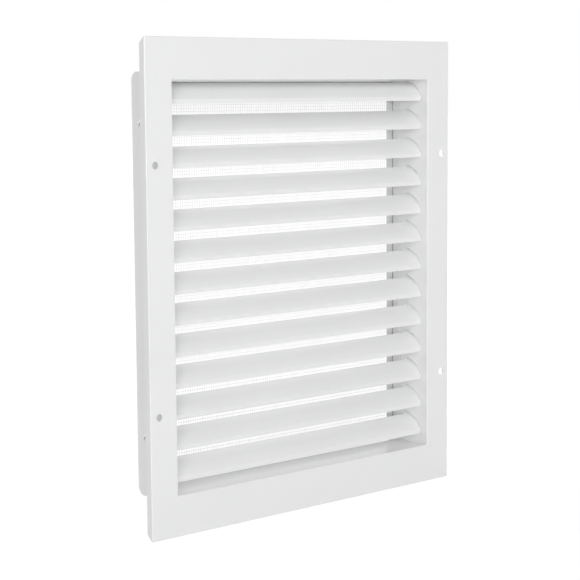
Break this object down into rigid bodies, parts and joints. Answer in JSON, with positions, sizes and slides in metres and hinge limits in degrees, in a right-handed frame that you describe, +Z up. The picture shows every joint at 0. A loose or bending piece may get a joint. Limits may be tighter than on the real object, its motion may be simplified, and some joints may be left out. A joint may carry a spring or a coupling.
{
  "type": "gable vent",
  "caption": "Rectangular wall vent with a flanged face, fixed curved louvre blades and an insect screen, screwed over a wall opening to let air through and keep rain out.",
  "frame": {"origin": "centre of the four screw holes, on the front plane of the face", "axes": "-Y points out of the front of the vent, +Z is up, X runs across the face"},
  "size_m": [0.2984, 0.0452, 0.3492],
  "materials": {
    "white_paint": "white semi-gloss powder coat on sheet steel",
    "screen_wire": "fine pale woven wire"
  },
  "bodies": {
    "root": {"front_frame": "white_paint", "left_side_plate": "white_paint", "right_side_plate": "white_paint", "blade_01": "white_paint", "blade_02": "white_paint", "blade_03": "white_paint", "blade_04": "white_paint", "blade_05": "white_paint", "blade_06": "white_paint", "blade_07": "white_paint", "blade_08": "white_paint", "blade_09": "white_paint", "blade_10": "white_paint", "blade_11": "white_paint", "blade_12": "white_paint", "blade_13": "white_paint", "screen_frame": "white_paint", "insect_screen": "screen_wire", "left_rivets": "white_paint", "right_rivets": "white_paint"}
  },
  "joints": []
}
